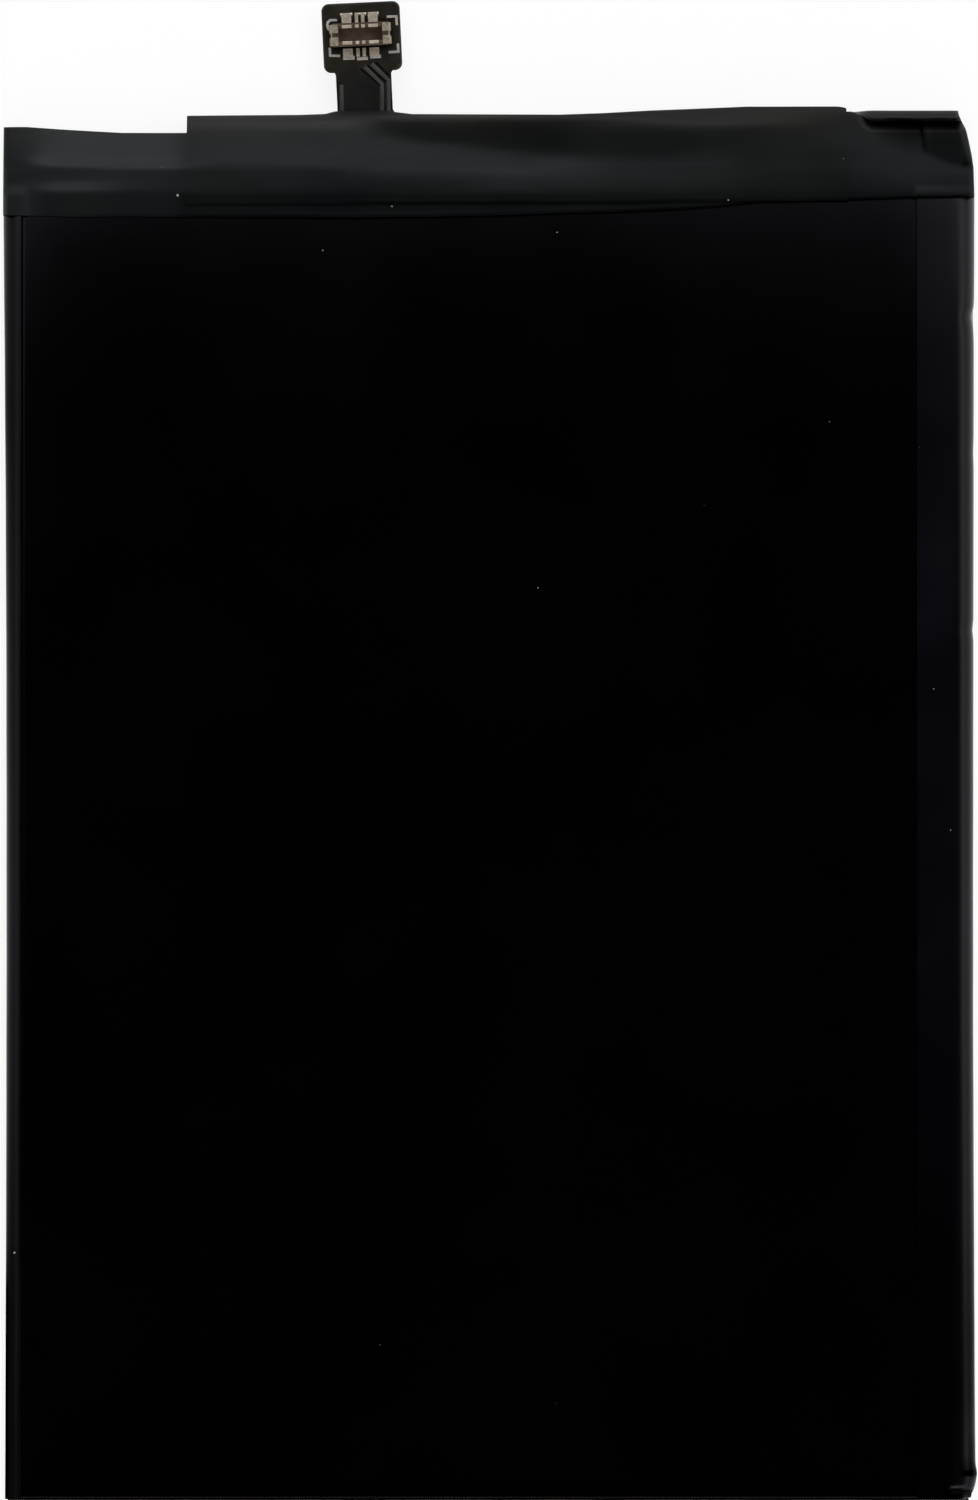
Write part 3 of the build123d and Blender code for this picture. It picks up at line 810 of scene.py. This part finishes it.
def outer_painted_light(x, along, z):
    """Painted light on the outer tape: a painted highlight over much of it and a painted shadow along its
    front edge.
    """
    column, row = on_photo(x, along)
    depth = np.interp(column, (183, 320, 390, 700, 760, 848), (0.2, 0.4, 0.7, 0.6, 0.4, 0.5))
    edge = np.array([outer_edge(float(place)) for place in x])
    return np.where(z > 0.3, painted_edge_shadow(along, edge, depth) - painted_sheen(column, row), 0.0)


def inner_painted_light(x, along, z):
    """Painted light on the inner tape: painted shade on the facet, crease and fold mouth at its right corner,
    a painted shadow along its front edge, and painted highlights beside the crease and elsewhere.
    """
    column, row = on_photo(x, along)
    foot = np.interp(column, (866, 885, 905, 921), (126, 150, 158, 160))
    depth = np.interp(column, (860, 866, 885, 905, 921), (0.0, 0.35, 0.75, 0.95, 0.95))
    slope = depth * np.clip((foot - row) / (foot - 120), 0, 1) * (1 - smooth(column, 921, 927))
    foot = np.interp(column, (926, 935, 945, 953, 960, 970), (157, 162, 166, 169, 170.5, 171.5))
    facet = 0.62 * (1 - smooth(row, foot - 9, foot + 1)) * smooth(column, 921, 927)
    brink = np.interp(row, (118, 122, 140, 155, 163, 168), (956, 957, 961, 966, 970, 973))
    facet *= 1 - smooth(column, brink - 1.0, brink + 1.5)
    crease_at = 921 + (row - 125) * 0.13
    crease = 0.35 * hump(column, crease_at, 1.6) * (1 - smooth(row, 148, 158))
    # A painted highlight streak beside the crease
    streak = 0.20 * hump(column, crease_at + 7, 2.2) * (1 - smooth(row, 130, 155))
    # A spot of painted shade at the top of the side strip's fold
    spot = 0.35 * hump(column, 965, 3.5) * hump(row, 165, 3.5)
    depth = np.interp(column, (40, 100, 300, 560, 850, 960, 968), (0.1, 0.5, 0.75, 0.7, 0.8, 0.8, 0.3))
    edge = np.array([inner_edge(float(place)) for place in x])
    corner = np.where(row > 120, slope + facet + crease - streak + spot, 0.0)
    return np.where(z > 0.3, corner + painted_edge_shadow(along, edge, depth) - painted_sheen(column, row), 0.0)


def slit_mask(grid):
    """The squares cut out of a tape where the tail passes through."""
    middle = (grid[:-1, :-1] + grid[1:, 1:]) / 2
    beside = np.abs(middle[:, :, 0] - TAIL_X) < TAIL_HALF
    beyond = middle[:, :, 1] - foot_y > ledge_along + 0.2
    level = (middle[:, :, 2] > flex_low.z - SLIT_UNDER) & (middle[:, :, 2] < flex_high.z + SLIT_OVER)
    return beside & beyond & level


def build_outer_tape():
    """The shorter tape over the first, with square ends and the slit for the tail."""
    lines = []
    for x in np.linspace(OUTER_LEFT, OUTER_RIGHT, 256).tolist():
        curl = 0.03 + by_column(x, OUTER_CURL)
        line = finish_line(*fold_line(x, outer_edge(x), outer_end(x), 0.0, OUTER_REAR, curl))
        sway = 0.03 * np.sin(0.8 * line[:, 0]) * (1 if x < 0 else -1)
        near_edge = smooth(abs(x - OUTER_MIDDLE), 18.0, 21.0)
        lines.append(np.stack([x + sway * near_edge, line[:, 0] + foot_y, line[:, 1]], axis=1))
    grid = np.array(lines)
    skin = closed_sheet(
        "outer_tape_skin", grid, TAPE_T, outer_skin, ["outer_tape"], slit_mask(grid)
    )
    mark_painted_light(skin, outer_painted_light)


build_inner_tape()
build_outer_tape()


# The wrap film: one sheet round the cell with its returns, bows, dents and folded corner
RETURN_LEFT = 1.05
RETURN_RIGHT = 3.60
FLAP_H = 3.20
FOLD_R = 0.42
REST_ALONG = wall_along - 4.8
# The dents in its right side: row of the photograph, depth and spread
DENTS = ((316, 0.11, 0.35), (322, 0.06, 0.9), (630, 0.07, 0.4), (452, 0.03, 0.7))
# How far its bottom right corner is drawn in, by the distance along
CORNER_ALONG = (0, 0.1, 0.35, 0.61, 0.87, 1.1)
CORNER_IN = (0.60, 0.30, 0.25, 0.12, 0.04, 0.0)


def film_section():
    """The film's outer line across the pack, from the left return round to the right one."""
    top_r = rim_r + film_t
    left = [(x, film_top) for x in np.linspace(-half_w + RETURN_LEFT, -half_w + top_r, 3)]
    for angle in np.linspace(0, 90, 14)[1:]:
        a = math.radians(angle)
        left.append((-half_w + top_r * (1 - math.sin(a)), film_top - top_r * (1 - math.cos(a))))
    left.extend([(-half_w, z) for z in np.linspace(film_top - top_r, FOLD_R, 8)[1:]])
    for angle in np.linspace(0, 90, 8)[1:]:
        a = math.radians(angle)
        left.append((-half_w + FOLD_R * (1 - math.cos(a)), FOLD_R * (1 - math.sin(a))))
    turned = [(-x, z) for x, z in left[3:]][::-1]
    flat = [(x, 0.0) for x in np.linspace(-half_w + 2, half_w - 2, 10)]
    back = [(x, film_top) for x in np.linspace(half_w - top_r, half_w - RETURN_RIGHT, 36)]
    return left + flat + turned + back


def film_push(x, along, z):
    """How far the film's side stands out: its bow, and on the right its dents, ear and drawn-in corner."""
    on_side = smooth(abs(x), half_w - 1.1, half_w - 0.5)
    t = 2 * along / wall_along - 1
    if x < 0:
        bow = (0.21 if t > 0 else 0.09) * t**2 - 0.07
    else:
        bow = 0.07 * t**2.5 if t > 0 else -0.10 * t**3 + 0.10 * (1 + t) * t
        bow += 0.05 + 0.05 * smooth(-t, 0.2, 0.6)
    push = bow + 0.012 * drift(along, z * 3, 6.0, 8 if x > 0 else 9)
    high = smooth(z, 1.2, 3.0)
    if x > 0:
        for row, depth, spread in DENTS:
            push -= depth * high * hump(along, photo_along(row), spread)
        push += 0.10 * hump(along, photo_along(1473), 0.45)
        push -= np.interp(along, CORNER_ALONG, CORNER_IN)
    return push * on_side


def ear_rise(x, along):
    """How the film stands up at its folded corner at the bottom right: a crease, a tuck and its round end."""
    column, row = on_photo(x, along)
    crease = 0.08 * hump(row, 1472.5, 2.4) * smooth(column, 957, 963)
    band = 1488.2 + (967 - column) * 0.06
    tuck = 0.10 * smooth(row, band - 5.5, band - 0.5) - 0.30 * smooth(row, band + 0.5, band + 6)
    return tuck * smooth(column, 946, 951) - crease


def side_painted_light(x, row):
    """Painted light on the film's two sides and its right return, by the row of the photograph: painted
    shade, darker towards the bottom, and on the return a painted highlight around row 620.
    """
    outermost = smooth(np.abs(x), half_w - 0.5, half_w - 0.1)
    left = np.interp(row, (230, 400, 600, 900, 1100, 1300), (0.62, 0.80, 0.72, 0.54, 0.68, 0.88))
    left = left + 0.14 * outermost * np.interp(row, (300, 400, 700, 900, 1100, 1300), (1, 1, 0.6, 0, 0.6, 1))
    left = left * smooth(np.abs(x), half_w - 1.0, half_w - 0.5)
    right = np.interp(
        row, (250, 600, 900, 1100, 1210, 1330, 1400, 1450), (0.1, 0.1, 0.0, 0.16, 0.24, 0.5, 0.5, 0.15)
    )
    right = right + 0.25 * outermost * smooth(row, 1100, 1250)
    on_side = smooth(np.abs(x), half_w - 1.6, half_w - 0.9)
    level = np.interp(
        row, (230, 320, 450, 620, 700, 900, 1100, 1250), (0.3, 0.1, 0.15, -0.3, 0.0, 0.05, 0.4, 0.75)
    )
    return left, right * on_side + level * (1 - on_side)


def film_painted_light(x, along, z):
    """Painted light on the film: painted shade on its sides, painted shade in the crease and black tuck of
    its folded corner, and a painted highlight on the lit band there.
    """
    column, row = on_photo(x, along)
    left, right = side_painted_light(x, row)
    right = right + 0.35 * smooth(column, 965, 970) * smooth(row, 1425, 1450) * (1 - smooth(row, 1474, 1480))
    fade = 0.45 * smooth(row, 1452, 1464) * (1 - smooth(row, 1474, 1477))
    at = row + 0.12 * (column - 966)
    crease = 0.99 * smooth(at, 1467.5, 1472.5) * (1 - smooth(at, 1473.5, 1477)) * smooth(column, 957, 964)
    crease *= 1 - 0.7 * smooth(column, 970, 973)
    tuck = 0.98 * smooth(row, 1488.2, 1489.6) * smooth(column, 942, 947)
    light_end = hump(row, 1495.5, 1.6) * hump(column, 965.5, 2.5)
    # A painted highlight on the lit band of the folded corner
    lit = 0.7 * hump(row, 1486.6, 3.0) * hump(column, 953, 5.0)
    black = crease + tuck * (1 - light_end) + fade * smooth(column, 955, 960)
    black = np.clip(black, 0, 1) * smooth(z, 2.4, 3.4)
    return np.where(x < 0, left, np.minimum(right, 1) * (1 - black) + black - lit)


def build_film():
    """The film round the cell, less what is missing of its resting face towards the tail."""
    section = film_section()
    last = wall_along - rim_r
    stations = np.concatenate(
        [np.linspace(0, 3, 61), np.linspace(3, last, 230)[1:], last + np.linspace(0.05, 0.3, 6)]
    )
    grid = np.zeros((len(stations), len(section), 3))
    for row, along in enumerate(stations):
        for column, (x, z) in enumerate(section):
            out = film_push(x, along, z)
            past = max(along - last, 0.0)
            rise = ear_rise(x, along) - rim_r + math.sqrt(rim_r**2 - past**2)
            rise *= smooth(z, 3.0, 4.0)
            grid[row, column] = (x + math.copysign(1.0, x) * out, along + foot_y, z + rise)
    middle = (grid[:-1, :-1] + grid[1:, 1:]) / 2
    flat = np.abs(middle[:, :, 0]) < half_w - 0.5
    low = flat & (middle[:, :, 2] < 0.3) & (middle[:, :, 1] - foot_y > REST_ALONG)
    skin = closed_sheet("wrap_film_skin", grid, film_t, film, ["wrap_film"], low, 50)
    mark_painted_light(skin, film_painted_light)


def build_flap():
    """The film's flap, folded up over the pack's bottom end."""
    across = np.linspace(half_w - 0.25, -half_w + 0.15, 70)
    up = np.linspace(0.02, FLAP_H, 12)
    grid = np.zeros((len(across), len(up), 3))
    for row, x in enumerate(across):
        for column, z in enumerate(up):
            grid[row, column] = (x, foot_y - 0.01 + 0.012 * drift(x, z, 4.0, 11), z)
    closed_sheet("wrap_film_flap", grid, film_t - 0.02, film, (), None, 50)


build_film()
build_flap()


# What lies on the tail: traces under its cover, printed corner marks, solder round the contacts' feet, and
# near-black strips and a ledge coloured as painted shadow
def on_tail(*places):
    """Places on the photograph as points across and along the pack."""
    return [(photo_x(column), photo_along(row)) for column, row in places]


def ridge(path, width, low, high, slope):
    """The sections of a low strip along a path, with sloping sides and mitred corners."""
    path = np.array(path, float)
    runs = np.diff(path, axis=0)
    runs /= np.linalg.norm(runs, axis=1, keepdims=True)
    normals = np.stack([-runs[:, 1], runs[:, 0]], axis=1)
    before = np.vstack([normals[:1], normals])
    after = np.vstack([normals, normals[-1:]])
    side = (before + after) / (1 + (before * after).sum(axis=1, keepdims=True))
    sections = []
    for out, z in ((width / 2, low), (width / 2 - slope, high), (slope - width / 2, high), (-width / 2, low)):
        sections.append(np.column_stack([path + side * out, np.full(len(path), z)]))
    return np.stack(sections, axis=1)


def add_ridges(name, ridges, material):
    """Makes one piece from several low strips."""
    points, faces = [], []
    for sections in ridges:
        first = len(points)
        points.extend((x, along + foot_y, z) for x, along, z in sections.reshape(-1, 3))
        last = first + 4 * (len(sections) - 1)
        for a in range(first, last, 4):
            faces.extend((a + k, a + (k + 1) % 4, a + 4 + (k + 1) % 4, a + 4 + k) for k in range(4))
        faces.append((first, first + 3, first + 2, first + 1))
        faces.append((last, last + 1, last + 2, last + 3))
    piece = add_piece(name, points, faces, material, (), 30)
    shape = bmesh.new()
    shape.from_mesh(piece.data)
    bmesh.ops.recalc_face_normals(shape, faces=shape.faces)
    shape.to_mesh(piece.data)
    shape.free()
    return piece


# Their lines, by columns and rows of the photograph, and each pad's width
TRACES = (
    ((364.5, 65.5), (381.6, 83), (381.8, 109.5)),
    ((371.5, 62.5), (388.2, 79), (388.6, 110.5)),
    ((341.2, 83.5), (341.6, 110.5)),
)
# Painted shadows: near-black strips beside the diagonal traces, where their shade falls
PAINTED_SHADOW_LINES = (((360.5, 67.5), (382.3, 85.9)), ((366.8, 64), (386.3, 80.7)), ((375.4, 61.2), (389.8, 75)))
MARKS = (
    ((386.5, 15.3), (396.2, 15.0), (396.6, 23.8)),
    ((336.8, 18.9), (330.0, 18.9), (327.6, 20.8), (327.0, 24.0), (328.2, 27.8), (331.5, 30.6), (334.0, 31.4)),
    ((329.4, 46.4), (330.0, 54.3), (339.8, 54.6)),
    ((397.6, 42.2), (398.2, 50.4), (388.4, 50.9)),
)
# A strip of moulding along the plug's lower wall, coloured near-black as painted shadow
PLUG_LEDGE_SHADOW = (((338.5, 46.5), (384.5, 44.3)),)
PADS = (
    ((339.9, 13.6), (352.0, 13.0), 0.24),
    ((354.6, 12.9), (366.0, 12.4), 0.20),
    ((368.2, 12.6), (378.4, 12.1), 0.24),
    ((342.9, 56.8), (354.4, 56.3), 0.28),
    ((356.8, 57.4), (367.6, 56.9), 0.24),
    ((370.0, 55.4), (380.8, 54.9), 0.26),
)
# Each piece's name, lines, width, height, slope, material and slot
STRIPS = (
    ("tail_traces", TRACES, 0.27, 0.020, 0.06, trace_cover, "flex_film"),
    ("tail_painted_shadows", PAINTED_SHADOW_LINES, 0.19, 0.006, 0.03, painted_shadow_cover, "flex_film"),
    ("tail_marks", MARKS, 0.18, 0.016, 0.03, ink, "sealing_film"),
    ("plug_ledge_shadow", PLUG_LEDGE_SHADOW, 0.17, 0.22, 0.01, painted_shadow_cover, "plug_moulding"),
)
SUNK = 0.01
PAD_H = 0.05


def build_tail_details():
    """The strips on the tail's face."""
    face = flex_high.z
    for name, paths, width, height, slope, material, slot in STRIPS:
        ridges = [ridge(on_tail(*path), width, face - SUNK, face + height, slope) for path in paths]
        add_ridges(name, ridges, material)
    pads = [ridge(on_tail(a, b), width, face - SUNK, face + PAD_H, width * 0.42) for a, b, width in PADS]
    add_ridges("plug_solder", pads, solder)


build_tail_details()


# Specks of dust where the photograph shows them: column, row and size there
SPECKS = (
    (178, 196, 1.24), (323, 251, 0.78), (392, 207, 0.86), (557, 233, 0.78), (728, 201, 0.95),
    (843, 159, 0.50), (162, 168, 0.34), (829, 422, 0.55), (919, 448, 0.45), (538, 588, 0.68),
    (704, 506, 0.32), (933, 689, 0.72), (950, 830, 0.71), (15, 1252, 1.12), (380, 1344, 0.38),
    (556, 1403, 0.42),
)


def under_speck(x, along):
    """The height of the surface that a speck lies on."""
    if OUTER_LEFT < x < OUTER_RIGHT and along > outer_edge(x):
        return float(tape_z(x, along))
    if along > inner_edge(x):
        return float(tape_z(x, along)) - LAYER
    on_film = x > half_w - RETURN_RIGHT or x < RETURN_LEFT - half_w
    return film_top if on_film else cup_top


def build_dust():
    """Squat irregular grains in one piece."""
    chance = random.Random(5)
    shape = bmesh.new()
    for column, row, size in SPECKS:
        x, along = photo_x(column), photo_along(row)
        radius = size * px
        seat = Matrix.Translation((x, along + foot_y, under_speck(x, along) + 0.2 * radius))
        turn = Matrix.Rotation(chance.uniform(0, math.pi), 4, "Z")
        squat = Matrix.Diagonal((1.0, chance.uniform(0.6, 0.9), 0.45, 1.0))
        grain = bmesh.ops.create_icosphere(shape, subdivisions=2, radius=radius, matrix=seat @ turn @ squat)
        for vert in grain["verts"]:
            vert.co += (vert.co - seat.translation) * 0.35 * drift(vert.co.x * 9, vert.co.y * 9, 1.0, size)
    shape.verts.index_update()
    points = [tuple(vert.co) for vert in shape.verts]
    faces = [tuple(vert.index for vert in face.verts) for face in shape.faces]
    shape.free()
    add_piece("dust_specks", points, faces, dust, (), 60)


build_dust()


# The floor and the wide white bowl round it: radius and height of each ring, in metres
BOWL = ((0.3, 0.0), (1.2, 0.0), (2.6, 0.0), (3.4, 0.12), (3.9, 0.5), (4.1, 1.1), (4.15, 1.7))
BOWL_SIDES = 64
BOWL_GLOW = 0.86


def stage_material():
    """White to the camera and in reflections, and a plain pale grey to all other light."""
    material = bpy.data.materials.new("stage_white")
    material.use_nodes = True
    tree = material.node_tree
    tree.nodes.clear()
    output = new_node(tree, "OutputMaterial")
    path = new_node(tree, "LightPath")
    seen = math_node(tree, "MAXIMUM", path.outputs["Is Camera Ray"], path.outputs["Is Glossy Ray"])
    seen = math_node(tree, "MAXIMUM", seen, path.outputs["Is Transmission Ray"])
    plain = new_node(tree, "BsdfDiffuse")
    plain.inputs["Color"].default_value = (0.8, 0.8, 0.8, 1)
    shown = new_node(tree, "BsdfDiffuse")
    shown.inputs["Color"].default_value = (0.22, 0.22, 0.22, 1)
    glow = new_node(tree, "Emission")
    glow.inputs["Color"].default_value = (1, 1, 1, 1)
    glow.inputs["Strength"].default_value = BOWL_GLOW
    both = new_node(tree, "AddShader")
    tree.links.new(shown.outputs[0], both.inputs[0])
    tree.links.new(glow.outputs[0], both.inputs[1])
    mix = new_node(tree, "MixShader")
    tree.links.new(seen, mix.inputs[0])
    tree.links.new(plain.outputs[0], mix.inputs[1])
    tree.links.new(both.outputs[0], mix.inputs[2])
    tree.links.new(mix.outputs[0], output.inputs[0])
    return material


def build_stage():
    """A floor that curves up into a wall far away."""
    points = [(0.0, 0.0, 0.0)]
    for radius, z in BOWL:
        for turn in range(BOWL_SIDES):
            a = 2 * math.pi * turn / BOWL_SIDES
            points.append((radius * math.cos(a), radius * math.sin(a), z))
    faces = [(0, 1 + turn, 1 + (turn + 1) % BOWL_SIDES) for turn in range(BOWL_SIDES)]
    for ring in range(len(BOWL) - 1):
        for turn in range(BOWL_SIDES):
            a = 1 + ring * BOWL_SIDES + turn
            b = 1 + ring * BOWL_SIDES + (turn + 1) % BOWL_SIDES
            faces.append((a, a + BOWL_SIDES, b + BOWL_SIDES, b))
    mesh = bpy.data.meshes.new("stage_bowl")
    mesh.from_pydata(points, [], faces)
    mesh.polygons.foreach_set("use_smooth", [True] * len(mesh.polygons))
    mesh.materials.append(stage_material())
    bowl = bpy.data.objects.new("stage_bowl", mesh)
    bpy.context.scene.collection.objects.link(bowl)


build_stage()


# Camera and light
EYE_OVER = 1.0
FRAME_Z = 0.003
LAMP_AT = (0.05, 0.9, 0.42)
LAMP_AIM = (0, 0.03, 0)
WORLD_TILT = 0.5
WORLD_LEVEL = 1.95
# The world's grey by height above the horizon, and from left to right
RISE = ((0.35, 1.0), (0.6, 0.9), (0.74, 0.34), (0.84, 0.03), (0.92, 0.0))
FLANK = ((0.25, 0.6), (0.5, 1.0), (0.75, 0.9))


def build_camera():
    """Straight down, with the photograph's frame on the plane of the pack's rim."""
    data = bpy.data.cameras.new("camera")
    camera = bpy.data.objects.new("camera", data)
    bpy.context.scene.collection.objects.link(camera)
    data.sensor_width = 36.0
    data.lens = data.sensor_width * EYE_OVER / (PHOTO_H * px * MM)
    data.clip_start = 0.05
    data.clip_end = 20.0
    camera.location = (0, (foot_y + photo_along(PHOTO_H / 2)) * MM, EYE_OVER + FRAME_Z)
    bpy.context.scene.camera = camera


def build_lamp():
    """A soft lamp beyond the tail's end, which looks at the board."""
    data = bpy.data.lights.new("lamp_end", "AREA")
    data.shape = "RECTANGLE"
    data.size, data.size_y = 1.0, 0.35
    data.energy = 1.2
    lamp = bpy.data.objects.new("lamp_end", data)
    bpy.context.scene.collection.objects.link(lamp)
    lamp.location = LAMP_AT
    lamp.rotation_euler = (Vector(LAMP_AIM) - Vector(LAMP_AT)).to_track_quat("-Z", "Y").to_euler()


def grey_ramp(tree, value, first, last, between):
    """A grey that runs from the first through the stops between to the last."""
    ramp = new_node(tree, "ValToRGB")
    stops = ramp.color_ramp.elements
    stops[0].color = (first, first, first, 1)
    stops[1].color = (last, last, last, 1)
    for at, grey in between:
        stops.new(at).color = (grey, grey, grey, 1)
    tree.links.new(value, ramp.inputs[0])
    return ramp.outputs[0]


def build_world():
    """Light from a wide ring above the bowl, strongest beyond the tail's end, round a dark zenith."""
    world = bpy.data.worlds.new("world")
    bpy.context.scene.world = world
    world.use_nodes = True
    tree = world.node_tree
    place = new_node(tree, "TexCoord")
    split = new_node(tree, "SeparateXYZ")
    tree.links.new(place.outputs["Generated"], split.inputs[0])
    rise = grey_ramp(tree, split.outputs["Z"], 0.5, 0.0, RISE)
    tilt = math_node(tree, "MULTIPLY_ADD", split.outputs["Y"], WORLD_TILT, 1.0)
    across = math_node(tree, "MULTIPLY_ADD", split.outputs["X"], 0.5, 0.5)
    flank = grey_ramp(tree, across, 0.45, 0.8, FLANK)
    light = math_node(tree, "MULTIPLY", math_node(tree, "MULTIPLY", rise, tilt), flank)
    background = tree.nodes["Background"]
    background.inputs[0].default_value = (1, 1, 1, 1)
    tree.links.new(math_node(tree, "MULTIPLY", light, WORLD_LEVEL), background.inputs[1])


build_camera()
build_lamp()
build_world()
bpy.context.scene.view_settings.view_transform = "Standard"
